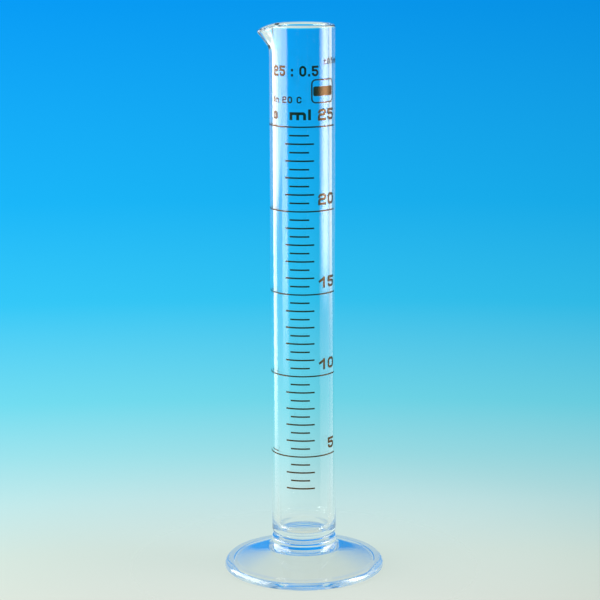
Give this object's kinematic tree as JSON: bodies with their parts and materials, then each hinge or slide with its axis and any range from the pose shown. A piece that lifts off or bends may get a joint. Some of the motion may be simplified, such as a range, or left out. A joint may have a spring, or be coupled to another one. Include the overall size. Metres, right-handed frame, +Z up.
{
  "type": "graduated cylinder",
  "caption": "Tall clear glass measuring cylinder with a pouring spout, a flared round foot and an amber printed volume scale.",
  "frame": {"origin": "centre of the foot, on the surface that it stands on", "axes": "+Z up along the tube's axis; the printed scale faces -Y; the pouring spout points to -X"},
  "size_m": [0.05, 0.05, 0.17],
  "materials": {
    "glass": "gloss",
    "amber_stain": "gloss"
  },
  "bodies": {
    "root": {"measuring_tube": "glass", "foot": "glass", "ring_line_05": "amber_stain", "ring_line_10": "amber_stain", "ring_line_15": "amber_stain", "ring_line_20": "amber_stain", "ring_line_25": "amber_stain", "numeral_05": "amber_stain", "numeral_10": "amber_stain", "numeral_15": "amber_stain", "numeral_20": "amber_stain", "numeral_25": "amber_stain", "whole_ml_ticks": "amber_stain", "half_ml_ticks": "amber_stain", "unit_mark": "amber_stain", "capacity_mark": "amber_stain", "temperature_mark": "amber_stain", "class_mark": "amber_stain", "tolerance_mark": "amber_stain", "label_patch": "amber_stain"}
  },
  "joints": []
}
